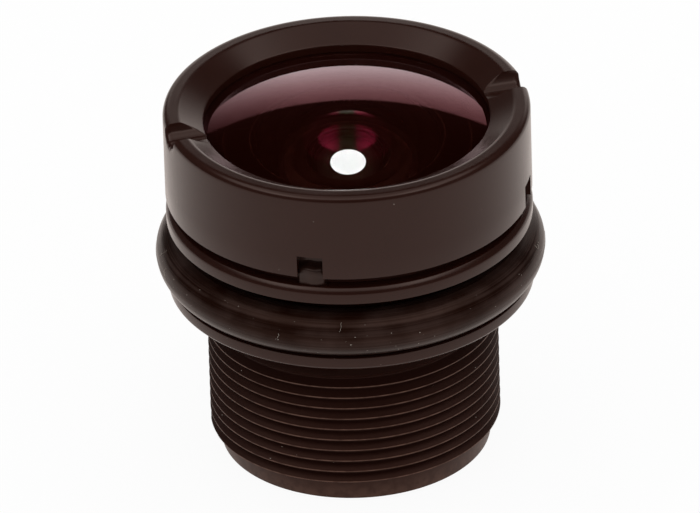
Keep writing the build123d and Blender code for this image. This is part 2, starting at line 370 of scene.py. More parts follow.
def cured_adhesive(colours):
    """A drop of thread lock, cured and dusted over: a lumpy brownish film with a weak gloss."""
    material, tree = new_material("cured_adhesive")
    place = add(tree, "TexCoord").outputs["Object"]
    lumps = add(tree, "TexNoise", {"Vector": place, "Scale": 1 / (0.25 * MM), "Detail": 3.0})
    tone = add(tree, "Mix", {0: lumps, 6: colours.adhesive_dark, 7: colours.adhesive_light}, data_type="RGBA")
    bump = add(tree, "Bump", {"Height": lumps, "Strength": 0.6, "Distance": 0.03 * MM})
    shader = add(tree, "BsdfPrincipled", {
        "Base Color": tone, "Roughness": 0.36, "Specular Tint": colours.skin_tint, "Normal": bump,
    })
    add(tree, "OutputMaterial", {"Surface": shader})
    return material


def settled_dust(colours):
    """Lint and flakes: matt and pale, with some warmer and darker ones among them."""
    material, tree = new_material("settled_dust")
    place = add(tree, "TexCoord").outputs["Object"]
    blend = add(tree, "TexNoise", {"Vector": place, "Scale": 1 / (0.8 * MM)})
    tone = add(tree, "Mix", {0: blend, 6: colours.dust_dark, 7: colours.dust_light}, data_type="RGBA")
    shader = add(tree, "BsdfPrincipled", {"Base Color": tone, "Roughness": 0.9})
    add(tree, "OutputMaterial", {"Surface": shader})
    return material


def white_table(stage):
    """A plain white table: white to the camera and to mirrors, with the object's own soft shadow on it."""
    material, tree = new_material("white_table")
    rays = add(tree, "LightPath").outputs
    camera, glossy, through = rays["Is Camera Ray"], rays["Is Glossy Ray"], rays["Is Transmission Ray"]
    diffuse = add(tree, "BsdfDiffuse", {"Color": stage.table_colour})
    # A sharp refraction counts as glossy too, so the warm white is kept for what is only mirrored
    mirrored = add(tree, "Math", {0: glossy, 1: through}, operation="SUBTRACT", use_clamp=True)
    white = add(tree, "Mix", {0: mirrored, 6: "#ffffff", 7: stage.warm_white}, data_type="RGBA")
    # What the glasses hold back is made up for, so that the pupil shows as white
    level = add(tree, "Math", {0: through, 1: stage.pupil_gain, 2: 1.0}, operation="MULTIPLY_ADD")
    glow = add(tree, "Emission", {"Color": white, "Strength": level})
    seen = add(tree, "Math", {0: camera, 1: stage.shadow_keep}, operation="MULTIPLY")
    by_glass = add(tree, "Math", {0: glossy, 1: through}, operation="MAXIMUM")
    share = add(tree, "Math", {0: seen, 1: by_glass}, operation="MAXIMUM")
    shader = add(tree, "MixShader", {0: share, 1: diffuse, 2: glow})
    add(tree, "OutputMaterial", {"Surface": shader})
    return material


# Sizes and colours

def length(name, description, millimetres):
    return bpy.props.FloatProperty(name=name, description=description, default=millimetres * MM, unit="LENGTH",
                                   precision=5)


def angle(name, description, degrees):
    return bpy.props.FloatProperty(name=name, description=description, default=radians(degrees), subtype="ANGLE")


def level(name, description, value, subtype="NONE"):
    return bpy.props.FloatProperty(name=name, description=description, default=value, subtype=subtype)


def paint(name, description, text):
    return bpy.props.StringProperty(name=name, description=description, default=text)


class LensBarrelSizes(bpy.types.PropertyGroup):
    lip_height: length("Lip height", "Plain lip under the thread", 0.90)
    lip_wall: length("Lip wall", "Wall round the filter's recess", 0.575)
    thread_radius: length("Thread radius", "Radius of the thread's crests before rounding", 5.968)
    thread_root: length("Thread root", "Radius of the thread's roots", 5.62)
    thread_pitch: length("Thread pitch", "Distance between two crests", 0.5)
    thread_top: length("Thread top", "Height at which the thread has run out", 6.05)
    thread_crest: length("Crest height", "Height of one crest on the side that faces the viewer", 5.55)
    lead_in: length("Lead-in", "Height of the cone where the thread starts", 0.05)
    run_out: length("Run-out", "Height of the cone where the thread ends", 0.25)
    run_out_over: length("Run-out overlap", "How far the last turn's cone reaches over the relief", 0.2)
    relief_radius: length("Relief radius", "Plain turning between thread and flange", 5.65)
    flange_thickness: length("Flange thickness", "Lower flange", 0.58)
    flange_chamfer: length("Flange chamfer", "On the flange's lower edge", 0.13)
    ring_lift: length("Ring lift", "Gap between the flange and the mount ring", 0.01)
    groove_depth: length("Groove depth", "From the flange's edge in to the core", 1.50)
    band_chamfer: length("Band chamfer", "On the band's upper edge", 0.13)
    band_foot: length("Chamfer foot", "Steeper strip under the band's chamfer", 0.12)
    band_height: length("Band height", "Upper band", 0.70)
    skirt_gap: length("Skirt gap", "Between the band and the cap's skirt", 0.48)
    edge_break: length("Edge break", "Every turned corner is broken by this much", 0.05)


class LensCapSizes(bpy.types.PropertyGroup):
    skirt_wall: length("Skirt wall", "Wall of the cap round the barrel's neck", 0.63)
    thread_fit: length("Thread fit", "Radial play between two threaded diameters", 0.02)
    opening_overlap: length("Opening overlap", "How far the opening's edge reaches over the glass", 0.34)
    bevel_width: length("Bevel width", "Width of the mouth's bevel", 0.99)
    bevel_depth: length("Bevel depth", "Drop of the mouth's bevel", 0.55)
    land_slope: angle("Land slope", "How far the rim's land falls outwards", 1.2)
    rim_round: length("Rim round", "Round between the rim and the outer wall", 0.28)
    spanner_radius: length("Spanner groove", "Radius of the two grooves across the rim", 0.70)
    spanner_rise: length("Spanner rise", "Height of the grooves' centre over the rim", 0.10)
    spanner_angle: angle("Spanner angle", "Turn of the first groove", 14)
    notch_width: length("Notch width", "Width of the square notches in the skirt", 1.06)
    notch_height: length("Notch height", "Height of the square notches in the skirt", 0.98)
    notch_angle: angle("Notch angle", "Turn of the first skirt notch", -13)
    notch_count: bpy.props.IntProperty(name="Notches", description="Number of skirt notches", default=4)
    edge_round: length("Edge round", "Round on the cap's other edges", 0.04)


class LensGlassSizes(bpy.types.PropertyGroup):
    bore_fit: length("Bore fit", "Radial play between a glass and its bore", 0.02)
    lip_fit: length("Lip fit", "Play between the cap's lip and the front glass", 0.02)
    seal_room: length("Seal room", "Play all round the front seal", 0.035)
    spacer_lip: length("Spacer lip", "How far the bore stands back from the clear glass", 0.05)
    front_curve: length("Front curve", "Radius of the front glass's outer surface", 20.0)
    front_thickness: length("Front thickness", "Front glass at its centre", 1.2)
    front_hollow_curve: length("Front hollow curve", "Radius of the hollow behind the front glass", 4.251)
    second_curve: length("Second curve", "Front of the second glass", 5.967)
    second_thickness: length("Second thickness", "Second glass at its centre", 0.6)
    second_boss: length("Second boss", "Radius of the second glass's boss", 3.1)
    second_hollow_curve: length("Second hollow curve", "Rear of the second glass", 2.682)
    third_curve: length("Third curve", "Front of the third glass", 4.802)
    third_thickness: length("Third thickness", "Third glass at its centre", 2.201)
    third_rear_curve: length("Third rear curve", "Rear of the third glass", 7.893)
    third_rim: length("Third rim", "Flat shoulder round the third glass", 1.0)
    stop_air: length("Stop air", "From the third glass to the middle of the stop", 0.30)
    fourth_curve: length("Fourth curve", "Front of the fourth glass", -3.976)
    fourth_air: length("Fourth air", "From the middle of the stop to the fourth glass", 0.25)
    fourth_rear_curve: length("Fourth rear curve", "Rear of the fourth glass", -3.607)
    fourth_clear: length("Fourth clear radius", "Polished radius of the fourth glass", 2.3)
    cement_curve: length("Cement curve", "Between the two cemented glasses", -6.022)
    sixth_rear_curve: length("Sixth rear curve", "Rear of the cemented pair", -5.3)
    sixth_rim: length("Sixth rim", "Rim round the pair's rear", 0.35)
    seventh_curve: length("Seventh curve", "Front of the rear glass", 12.091)
    seventh_rear_curve: length("Seventh rear curve", "Rear of the rear glass", -17.499)
    seventh_rim: length("Seventh rim", "Rim round the rear glass", 0.55)


class LensColours(bpy.types.PropertyGroup):
    metal_dark: paint("Metal, dark", "Anodised skin in its darker patches", "#210c07")
    metal_light: paint("Metal, light", "Anodised skin in its lighter patches", "#27100a")
    # Paler crests, part rubbed skin and part painted highlight, and painted sheen on the lip
    metal_worn_and_sheen: paint("Metal, worn", "Rubbed thread crests and lip", "#5a4238")
    skin_tint: paint("Skin tint", "Tint of what the dyed skin and the thread lock mirror head-on", "#c8bcb8")
    warm_tint: paint("Warm tint", "Tint of what the rubber and the thread mirror head-on", "#c8a89c")
    rubber_dark: paint("Rubber, dark", "Clean rubber", "#170703")
    rubber_bloom: paint("Rubber, bloom", "Streaks on the rubber", "#30221e")
    glass_body: paint("Glass body", "Light that comes through one glass", "#ffffff")
    coat_red: paint("Front coat, head-on", "What the front coat still mirrors head-on", "#ff4a60")
    coat_magenta: paint("Rear coat, head-on", "What the front glass's rear side mirrors head-on", "#ff4579")
    # Painted reflection: the ghost's green middle, drawn in at a fixed place across the glass
    painted_ghost_green: paint("Rear coat, middle", "The greenish middle of that ghost", "#5c6f58")
    coat_mauve: paint("Coats, slanted", "What both of these coats mirror at a slant", "#ffe6f3")
    coat_green: paint("Inner coats", "What the inner coats still mirror", "#7fb98f")
    # Painted stray light: a warm diffuse colour mixed into every glass
    painted_stray_light: paint("Glass haze", "Stray light from within the glasses", "#b64b33")
    ink_black: paint("Edge ink", "Black on the glasses' ground rims", "#240c07")
    ring_black: paint("Inner rings", "Dull black of the rings inside", "#240c07")
    adhesive_dark: paint("Adhesive, dark", "Thread lock in its hollows", "#190b07")
    adhesive_light: paint("Adhesive, light", "Thread lock on its lumps", "#2a1712")
    dust_dark: paint("Dust, dark", "Dark flakes", "#6e6258")
    dust_light: paint("Dust, light", "Pale lint", "#c4bab0")


class LensStage(bpy.types.PropertyGroup):
    distance: length("Camera distance", "From the camera to the point it looks at", 673)
    elevation: angle("Elevation", "Camera's height over the table as an angle", 30.70)
    roll: angle("Roll", "Turn of the picture about its middle", 1.757)
    focal_length: level("Focal length", "In millimetres, on a 36 mm sensor", 845.43)
    look_across: length("Look across", "Sideways place of the point looked at", -0.040)
    look_height: length("Look height", "Height of the point looked at", 8.222)
    table_colour: paint("Table", "Colour of the table", "#f4f4f4")
    table_radius: length("Table radius", "The table's reach", 700)
    shadow_keep: level("White share", "Share of the table that shows plain white", 0.93, "FACTOR")
    pupil_gain: level("Pupil gain", "Extra white for light that comes through the glasses", 0.6)
    wall_top: angle("White wall top", "Height angle up to which the tent is white", 28)
    wall_level: level("White wall level", "The wall's brightness in mirror images", 1.35)
    warm_white: paint("Warm white", "Colour of the tent and the table in mirror images", "#fff3ec")
    ceiling_start: angle("Ceiling start", "Height angle where the lit ceiling starts", 50)
    ceiling_level: level("Ceiling level", "Brightness of the lit ceiling", 0.9)
    lamp_gain: level("Lamp gain", "Extra brightness of the ceiling by the viewer", 0.9)
    room_level: level("Room level", "Brightness of the dark room between them", 0.04)


# The barrel

def barrel_heights(sizes, glass):
    """Heights and radii of the barrel that other pieces share, worked out from the frame."""
    flange_top = low("mount_o_ring") - sizes.ring_lift
    band_top = low("front_cap") - sizes.skirt_gap
    sixth_clear = reach("sixth_element") - glass.sixth_rim
    seventh_clear = reach("seventh_element") - glass.seventh_rim
    return {
        "flange_top": flange_top,
        "flange_base": flange_top - sizes.flange_thickness,
        "flange_radius": reach("front_cap"),
        "band_top": band_top,
        "band_base": band_top - sizes.band_height,
        "neck_top": low("front_seal_ring") - glass.seal_room,
        "sixth_clear": sixth_clear,
        "pair_seat": low("sixth_element") - fall(glass.sixth_rear_curve, sixth_clear),
        "seventh_clear": seventh_clear,
        "seventh_seat": high("seventh_element") - fall(glass.seventh_curve, seventh_clear),
    }


def thread_profile(sizes):
    """One pitch of the thread as (share of the pitch, radius), from the lower edge of a crest on."""
    crest = sizes.thread_radius
    root = sizes.thread_root
    half_crest = 0.04            # as a share of the pitch
    worn = 0.004 * MM            # off the crest's two edges
    below_edge = 0.02 * MM
    sag = 0.03 * MM              # of the rounded root
    slope = tan(radians(30)) / sizes.thread_pitch
    shoulder = half_crest + below_edge * slope
    flank_end = half_crest + (crest - root - sag) * slope
    root_arc = []
    for step in range(1, 6):
        across = step / 3 - 1
        root_arc.append((0.5 + across * (0.5 - flank_end), root + sag * across ** 2))
    return [
        (-half_crest, crest - worn),
        (0.0, crest),
        (half_crest, crest - worn),
        (shoulder, crest - below_edge),
        (flank_end, root + sag),
        *root_arc,
        (1 - flank_end, root + sag),
        (1 - shoulder, crest - below_edge),
    ]


def thread_mesh(sizes, lip_radius):
    """The helix between the lip and the relief: rows that climb by one pitch a turn, clamped at both ends."""
    profile = thread_profile(sizes)
    count = len(profile)
    bottom = sizes.lip_height
    top = sizes.thread_top + sizes.run_out_over
    cone = sizes.run_out + sizes.run_out_over
    facing = 0.75                # share of a turn at which the viewer stands
    base = sizes.thread_crest - facing * sizes.thread_pitch
    first = count * (floor((bottom - base) / sizes.thread_pitch) - 2)
    last = count * (ceil((top - base) / sizes.thread_pitch) + 1)

    def envelope(height):
        start = lip_radius + (height - bottom) / sizes.lead_in * (sizes.thread_radius - lip_radius)
        end = sizes.relief_radius + (top - height) / cone * (sizes.thread_radius - sizes.relief_radius)
        return min(start, end)

    vertices = []
    for row in range(first, last + 1):
        share, crest = profile[row % count]
        for column in range(BARREL_COLUMNS):
            turn = column / BARREL_COLUMNS
            height = base + (row // count + share + turn) * sizes.thread_pitch
            height = min(max(height, bottom), top)
            radius = min(crest, envelope(height))
            vertices.append((radius * cos(tau * turn), radius * sin(tau * turn), height))
    faces = []
    rows = last - first + 1
    for row in range(rows - 1):
        for column in range(BARREL_COLUMNS):
            here = row * BARREL_COLUMNS + column
            # Past the last column the row goes on as the one a pitch higher
            over = column + 1 == BARREL_COLUMNS
            after = (row + count) * BARREL_COLUMNS if over else here + 1
            if after + BARREL_COLUMNS < rows * BARREL_COLUMNS:
                faces.append([here, after, after + BARREL_COLUMNS, here + BARREL_COLUMNS])
    return vertices, faces


def barrel_outline(sizes, cap, glass):
    """The barrel's plain turning, from the thread's end over the neck and down the bore to the thread's start."""
    at = barrel_heights(sizes, glass)
    wide = at["flange_radius"]
    core = wide - sizes.groove_depth
    neck = wide - cap.skirt_wall - cap.thread_fit
    chamfer_base = at["band_top"] - sizes.band_chamfer
    lean = 0.4 * sizes.band_foot         # how far the strip under the chamfer leans in
    knee = 0.15 * sizes.band_foot        # how far under the chamfer's foot the strip ends
    fit = glass.bore_fit
    filter_bore = reach("filter_ring") + fit
    lip_radius = filter_bore + sizes.lip_wall
    outside = [
        (sizes.relief_radius, sizes.thread_top + sizes.run_out_over),
        (sizes.relief_radius, at["flange_base"]),
        (wide - sizes.flange_chamfer, at["flange_base"]),
        (wide, at["flange_base"] + sizes.flange_chamfer),
        (wide, at["flange_top"]),
        (core, at["flange_top"]),
        (core, at["band_base"]),
        (wide, at["band_base"]),
        (wide, chamfer_base - sizes.band_foot),
        (wide - lean, chamfer_base - knee),
        (wide - sizes.band_chamfer - lean, at["band_top"]),
        (neck, at["band_top"]),
        (neck, at["neck_top"]),
    ]
    # Each bore as its radius and the heights of its two ends
    bores = [
        (reach("front_element") + fit, at["neck_top"], low("front_element")),
        (reach("second_element") + fit, low("front_element"), low("second_element")),
        (reach("third_element") + fit, low("second_element"), high("rear_spacer")),
        (reach("fifth_element") + fit, high("rear_spacer"), at["pair_seat"]),
    ]
    web = [
        (at["sixth_clear"] + glass.spacer_lip, at["pair_seat"]),
        (at["seventh_clear"] + glass.spacer_lip, at["seventh_seat"]),
    ]
    rear_bores = [
        (reach("seventh_element") + fit, at["seventh_seat"], high("rear_retaining_ring")),
        (reach("rear_retaining_ring") + fit, high("rear_retaining_ring"), high("infrared_filter")),
        (filter_bore, high("infrared_filter"), 0.0),
    ]
    inside = stepped(bores) + web + stepped(rear_bores)
    lip = [(lip_radius, 0.0), (lip_radius, sizes.lip_height)]
    return soften(outside + inside + lip, sizes.edge_break, closed=False), lip_radius


def stepped(bores):
    return [(radius, height) for radius, start, end in bores for height in (start, end)]


def make_barrel(scene):
    sizes, colours = scene.lens_barrel, scene.lens_colours
    outline, lip_radius = barrel_outline(sizes, scene.lens_cap, scene.lens_glass)
    vertices, faces = lathe(outline, BARREL_COLUMNS, closed=False)
    helix, helix_faces = thread_mesh(sizes, lip_radius)
    offset = len(vertices)
    vertices += helix
    faces += [[index + offset for index in face] for face in helix_faces]
    barrel = as_piece("lens_barrel", vertices, faces, anodised_aluminium_turned(colours),
                      "barrel")
    dress_thread(barrel, sizes, colours, lip_radius)
    weigh_normals(barrel)


def dress_thread(barrel, sizes, colours, lip_radius):
    """Give the threaded length and the lip their own material, and mark how pale each point of them is drawn:
    rubbed crests with a painted highlight on them, and a lip with painted sheen.
    """
    inside_margin = 0.02 * MM    # keeps the bore's faces out
    # The paler crests, part rubbed skin and part painted highlight, fade out within this depth; the lip is drawn
    # half as pale, as painted sheen
    wear_depth = 0.018 * MM      # under the crests, where the wear ends
    lip_sheen = 0.5
    mesh = barrel.data
    mesh.materials.append(anodised_aluminium_threaded(colours))
    for polygon in mesh.polygons:
        outside = hypot(*polygon.center.xy) > lip_radius - inside_margin
        if outside and polygon.center.z < sizes.thread_top + sizes.run_out_over:
            polygon.material_index = 1
    paleness = mesh.attributes.new("crest_wear_and_sheen", "FLOAT", "POINT")
    for vertex, value in zip(mesh.vertices, paleness.data):
        if vertex.co.z < sizes.lip_height:
            value.value = lip_sheen
        elif vertex.co.z < sizes.thread_top:
            value.value = max(0.0, 1 - (sizes.thread_radius - hypot(*vertex.co.xy)) / wear_depth)


# The cap

def away_from(centre, angle):
    """The signed turn from a centre to an angle, within half a turn."""
    return (angle - centre + pi) % tau - pi


class CapShape:
    """The cap as columns of points: parallel across each groove and notch, and radial elsewhere."""

    def __init__(self, sizes, glass):
        self.sizes = sizes
        self.outer = reach("front_cap")
        self.low = low("front_cap")
        self.top = high("front_cap")
        self.bore = self.outer - sizes.skirt_wall
        self.glass_radius = reach("front_element")
        self.opening = self.glass_radius - sizes.opening_overlap
        self.notch_top = self.low + sizes.notch_height
        apex = high("front_element")
        self.lip_inner = apex - fall(glass.front_curve, self.opening) + glass.lip_fit
        self.lip_outer = apex - fall(glass.front_curve, self.glass_radius) + glass.lip_fit
        self.spanners = [sizes.spanner_angle, sizes.spanner_angle + pi]
        self.notches = [sizes.notch_angle + tau * k / sizes.notch_count for k in range(sizes.notch_count)]
        self.blend = 0.03 * MM   # round where two of the crown's surfaces cross

    def columns(self):
        """Sorted column angles at the outer radius, close together where the shape needs it."""
        spanner = self.sizes.spanner_radius
        across = [spanner * sin(pi / 2 * step / 30) for step in range(-30, 31)]
        across += [side * (spanner + extra * MM) for side in (-1, 1) for extra in (0.03, 0.08, 0.15, 0.24, 0.34)]
        half = self.sizes.notch_width / 2
        square = [half * step / 5 for step in range(-5, 6)]
        square += [side * (half + extra * MM) for side in (-1, 1) for extra in (0.04, 0.10)]
        zones = [(angle, across) for angle in self.spanners] + [(angle, square) for angle in self.notches]
        angles = []
        for centre, offsets in zones:
            angles += [(centre + asin(offset / self.outer)) % tau for offset in offsets]
        plain = 288              # columns all round, left out where a closer one stands
        clear = radians(0.6)
        for step in range(plain):
            angle = tau * step / plain
            if min(abs(away_from(other, angle)) for other in angles) > clear:
                angles.append(angle)
        return sorted(angles)

    def turn(self, column, radius):
        """The angle at which a column stands at this radius: parallel near a centre, fading to radial."""
        angle = column
        zones = [(centre, radians(8), radians(15)) for centre in self.spanners]
        zones += [(centre, radians(5), radians(11)) for centre in self.notches]
        for centre, full, end in zones:
            offset = away_from(centre, column)
            if abs(offset) < end:
                share = min(1.0, (end - abs(offset)) / (end - full))
                angle += share * (asin(self.outer * sin(offset) / radius) - offset)
        return angle

    def groove(self, column):
        """Height of the spanner groove's floor in this column, far above the rim where there is none."""
        radius = self.sizes.spanner_radius
        mark_height = 0.009 * MM
        mark_spacing = 0.04 * MM         # of the cutter's marks, over one radian of their wave
        for centre in self.spanners:
            offset = away_from(centre, column)
            across = self.outer * sin(offset)
            if abs(offset) < 1 and abs(across) < radius:
                marks = mark_height * sin(across / mark_spacing)
                return self.top + self.sizes.spanner_rise + marks - sqrt(radius ** 2 - across ** 2)
        return self.top + 1 * MM

    def crown(self, radius):
        """Height of the cap's upper side before the grooves: the rim's land and the mouth's bevel."""
        sizes = self.sizes
        bevel_edge = self.opening + sizes.bevel_width
        bevel = self.top - (bevel_edge - radius) * sizes.bevel_depth / sizes.bevel_width
        land = self.top - max(radius - bevel_edge, 0.0) * tan(sizes.land_slope)
        return smooth_least(land, bevel, self.blend)

    def height(self, column, radius):
        """The crown or the groove, whichever is lower, with its two edges rounded down."""
        height = smooth_least(self.crown(radius), self.groove(column), self.blend)
        height -= rounding(radius - self.outer, self.sizes.rim_round)
        return height - rounding(self.opening - radius, self.sizes.edge_round)

    def loop(self, column):
        """One column's points, once round the section from the bore's notch level, and how many lie under it."""
        bottom = soften([
            (self.bore, self.notch_top),
            (self.bore, self.low),
            (self.outer, self.low),
            (self.outer, self.notch_top),
        ], self.sizes.edge_round, closed=False)
        crown_steps = 44
        width = self.outer - self.opening
        across = [self.outer - width * (1 - cos(pi * k / crown_steps)) / 2 for k in range(crown_steps + 1)]
        crown = [(r, self.height(column, r)) for r in across]
        wall = rise(self.outer, self.notch_top, crown[0][1], 8)
        mouth = rise(self.opening, crown[-1][1], self.lip_inner, 6)
        inside = [
            (self.opening, self.lip_inner),
            (self.glass_radius, self.lip_outer),
            (self.bore, self.lip_outer),
        ]
        bore = rise(self.bore, self.lip_outer, self.notch_top, 5)
        return bottom + wall + crown + mouth + inside + bore, len(bottom)


def rise(radius, start, end, steps):
    """Points along a straight wall, without its two ends."""
    return [(radius, start + (end - start) * k / steps) for k in range(1, steps)]


def rounding(past, size):
    """Drop of a quarter round, for a point this far past the edge's vertical wall (0 at the wall)."""
    over = past + size
    if over <= 0:
        return 0.0
    return size - sqrt(max(size ** 2 - over ** 2, 0.0))


def smooth_least(a, b, blend):
    """The lower of two heights, with a small round where they cross."""
    share = max(blend - abs(a - b), 0.0) / blend
    return min(a, b) - share * share * blend / 4


def make_cap(scene):
    shape = CapShape(scene.lens_cap, scene.lens_glass)
    columns = shape.columns()
    vertices = []
    for column in columns:
        points, low_count = shape.loop(column)
        for radius, height in points:
            angle = shape.turn(column, radius)
            vertices.append((radius * cos(angle), radius * sin(angle), height))
    size = len(points)
    half = asin(shape.sizes.notch_width / 2 / shape.outer)
    same = 1e-6                  # radians

    def offset_in_notch(angle):
        return min(abs(away_from(centre, angle)) for centre in shape.notches)

    faces = []
    for index, column in enumerate(columns):
        after = (index + 1) % len(columns)
        here = index * size
        there = after * size
        middle = column + ((columns[after] - column) % tau) / 2
        notched = offset_in_notch(middle) < half
        for row in range(low_count - 1 if notched else 0, size):
            up = (row + 1) % size
            faces.append([here + row, there + row, there + up, here + up])
        if notched:
            top = low_count - 1
            faces.append([here, there, there + top, here + top])
        if abs(offset_in_notch(column) - half) < same:
            faces.append([here + row for row in range(low_count)])
    cap = as_piece("lens_front_cap", vertices, faces, anodised_aluminium_turned(scene.lens_colours),
                   "front_cap", crease=38.0)
    weigh_normals(cap)


# Rubber, glass and rings

def ring_section():
    """The mount ring's own radius, the radius it is bent to and its height."""
    least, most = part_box("mount_o_ring")
    section = (most.z - least.z) / 2
    return section, reach("mount_o_ring") - section, (most.z + least.z) / 2


def make_mount_ring(scene):
    """The mount ring: a round section with the fine raised line that the mould's joint leaves."""
    section, centre, middle = ring_section()
    steps = 72
    flash = 0.012 * MM
    width = 0.03 * MM
    outline = []
    for step in range(steps):
        angle = tau * step / steps
        radius = section - flash + flash * np.exp(-(section * sin(angle) / width) ** 2)
        outline.append((centre + radius * cos(angle), middle + radius * sin(angle)))
    vertices, faces = lathe(outline, 300)
    as_piece("lens_mount_ring", vertices, faces, nitrile_rubber_moulded(scene.lens_colours),
             "mount_o_ring", crease=60.0)


def glass_piece(name, node, front, side, rear, material, ink=None):
    """One element from its two polished outlines and the corners of its ground rim, which gets the ink."""
    vertices, faces = lathe(front + side + rear[::-1], 128, closed=False)
    piece = as_piece(name, vertices, faces, material, node, crease=20.0)
    if ink:
        slack = 0.001 * MM
        piece.data.materials.append(ink)
        front_edge, rear_edge = front[-1], rear[-1]
        for polygon in piece.data.polygons:
            radius = max(hypot(*piece.data.vertices[index].co.xy) for index in polygon.vertices)
            in_front = radius > front_edge[0] + slack and polygon.center.z > rear_edge[1]
            behind = radius > rear_edge[0] + slack and polygon.center.z <= front_edge[1] + slack
            wall = abs(polygon.normal.z) < 0.1
            if wall or in_front or (behind and polygon.normal.z < 0):
                polygon.material_index = 1
    return piece


def make_front_glass(scene):
    glass, colours = scene.lens_glass, scene.lens_colours
    radius = reach("front_element")
    seat = low("front_element")
    apex = high("front_element")
    hollow_summit = apex - glass.front_thickness
    hollow = clear_radius(glass.front_hollow_curve, hollow_summit - seat)
    front = dome(glass.front_curve, apex, radius, 60)
    rear = dome(glass.front_hollow_curve, hollow_summit, hollow)
    piece = glass_piece("lens_front_glass", "front_element", front, [(radius, seat)], rear,
                        optical_glass_front(colours), ink=edge_ink(colours))
    piece.data.materials.append(optical_glass_hollow(colours))
    for polygon in piece.data.polygons:
        inside = hypot(*polygon.center.xy) < hollow and polygon.normal.z < 0
        if polygon.material_index == 0 and inside:
            polygon.material_index = 2


def make_inner_glass(scene):
    glass, colours = scene.lens_glass, scene.lens_colours
    moulded = optical_glass_inner("optical_glass_moulded", 1.535, colours)
    dense = optical_glass_inner("optical_glass_dense", 1.85, colours)
    crown = optical_glass_inner("optical_glass_crown", 1.62, colours)
    flint = optical_glass_inner("optical_glass_flint", 1.92, colours)
    at = barrel_heights(scene.lens_barrel, glass)

    second = reach("second_element")
    second_top = high("second_element")
    second_seat = low("second_element")
    flange = low("front_spacer")
    hollow = second_top - glass.second_thickness
    hollow_clear = clear_radius(glass.second_hollow_curve, hollow - second_seat)

    third = reach("third_element")
    third_rear = high("third_element") - glass.third_thickness
    third_base = low("third_element")
    third_clear = clear_radius(glass.third_rear_curve, third_rear - third_base)

    fourth = reach("fourth_element")
    fourth_top = high("fourth_element")
    fourth_middle = third_rear - glass.stop_air - glass.fourth_air
    fourth_front = clear_radius(glass.fourth_curve, fourth_top - fourth_middle)

    pair = reach("fifth_element")
    pair_top = high("fifth_element")
    cement = dome(glass.cement_curve, low("fifth_element"), pair)

    seventh = reach("seventh_element")

    # Each glass as its front, the corners of its rim, its rear and its kind
    glasses = {
        "second": (
            dome(glass.second_curve, second_top, glass.second_boss),
            [(glass.second_boss, flange), (second, flange), (second, second_seat)],
            dome(glass.second_hollow_curve, hollow, hollow_clear),
            moulded,
        ),
        "third": (
            dome(glass.third_curve, high("third_element"), third - glass.third_rim),
            [(third, low("middle_spacer")), (third, third_base)],
            dome(glass.third_rear_curve, third_rear, third_clear),
            dense,
        ),
        "fourth": (
            dome(glass.fourth_curve, fourth_middle, fourth_front),
            [(fourth, fourth_top), (fourth, high("rear_spacer"))],
            dome(glass.fourth_rear_curve, low("fourth_element"), glass.fourth_clear),
            crown,
        ),
        "fifth": (
            [(0.0, pair_top), (pair, pair_top)],
            [],
            cement,
            crown,
        ),
        "sixth": (
            cement,
            [(pair, at["pair_seat"])],
            dome(glass.sixth_rear_curve, low("sixth_element"), at["sixth_clear"]),
            flint,
        ),
        "seventh": (
            dome(glass.seventh_curve, high("seventh_element"), at["seventh_clear"]),
            [(seventh, at["seventh_seat"]), (seventh, high("rear_retaining_ring"))],
            dome(glass.seventh_rear_curve, low("seventh_element"), at["seventh_clear"]),
            moulded,
        ),
    }
    for place, (front, side, rear, kind) in glasses.items():
        glass_piece(f"lens_{place}_glass", f"{place}_element", front, side, rear, kind,
                    ink=bpy.data.materials["edge_ink"])

    front = high("infrared_filter")
    back = low("infrared_filter")
    side = reach("infrared_filter")
    glass_piece("lens_filter_glass", "infrared_filter", [(0.0, front)], [(side, front), (side, back)],
                [(0.0, back)], optical_glass_inner("filter_glass_flat", 1.52, colours))


def dress_inner_rings(scene):
    """Give the rings that stay as the frame has them their materials."""
    dull = blackened_ring(scene.lens_colours)
    for node in ("front_spacer", "middle_spacer", "aperture_stop", "rear_spacer", "rear_retaining_ring",
                 "filter_ring"):
        dress(node, dull)
    dress("front_seal_ring", bpy.data.materials["nitrile_rubber_moulded"])


def dress(node, material):
    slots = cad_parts[node].data.materials
    slots.clear()
    slots.append(material)


# Adhesive and dust

